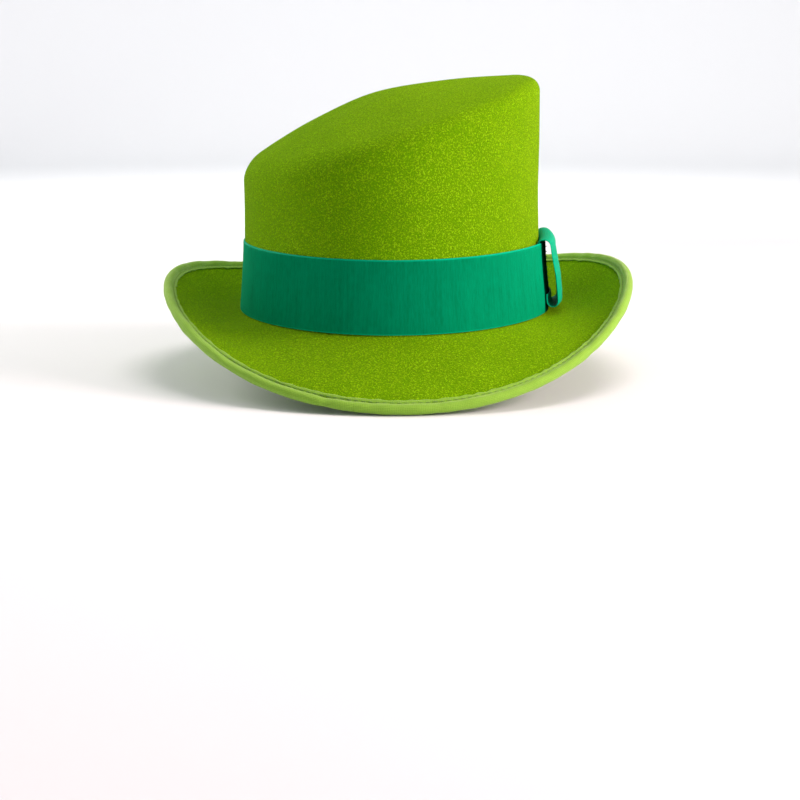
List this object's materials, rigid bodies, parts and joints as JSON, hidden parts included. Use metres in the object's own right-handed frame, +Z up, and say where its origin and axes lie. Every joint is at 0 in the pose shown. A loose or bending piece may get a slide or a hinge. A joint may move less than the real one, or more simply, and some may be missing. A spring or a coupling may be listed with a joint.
{
  "type": "felt hat",
  "caption": "Felt costume hat with a slanted domed crown, ribbon band with standing side loop, and a curled, bound and wired brim.",
  "frame": {"origin": "centre of the head opening in the plane of the headline, where crown and brim meet", "axes": "+Z up along the wearer's head, -Y to the front, +X to the wearer's left, the side of the ribbon loop"},
  "size_m": [0.2718, 0.3111, 0.1693],
  "materials": {
    "crown_felt": "brushed wool felt, fine nap",
    "brim_felt": "brushed wool felt, fine nap",
    "steel_wire": "plain drawn wire",
    "brass": "plain tube",
    "binding_tape": "fine knitted tape",
    "binding_thread": "polyester thread",
    "band_ribbon": "ribbed grosgrain",
    "loop_ribbon": "ribbed grosgrain",
    "band_thread": "polyester thread",
    "sweat_ribbon": "ribbed grosgrain",
    "bow_ribbon": "satin ribbon",
    "sewing_thread": "cotton thread"
  },
  "bodies": {
    "root": {"crown": "crown_felt", "brim": "brim_felt", "brim_wire": "steel_wire", "wire_joiner": "brass", "edge_binding": "binding_tape", "binding_stitches": "binding_thread", "hat_band": "band_ribbon", "band_join_stitches": "band_thread", "band_loop": "loop_ribbon", "loop_stitches": "band_thread", "sweatband": "sweat_ribbon", "sweatband_stitches": "sewing_thread", "sweatband_bow": "bow_ribbon", "headline_stitches": "sewing_thread"}
  },
  "joints": []
}
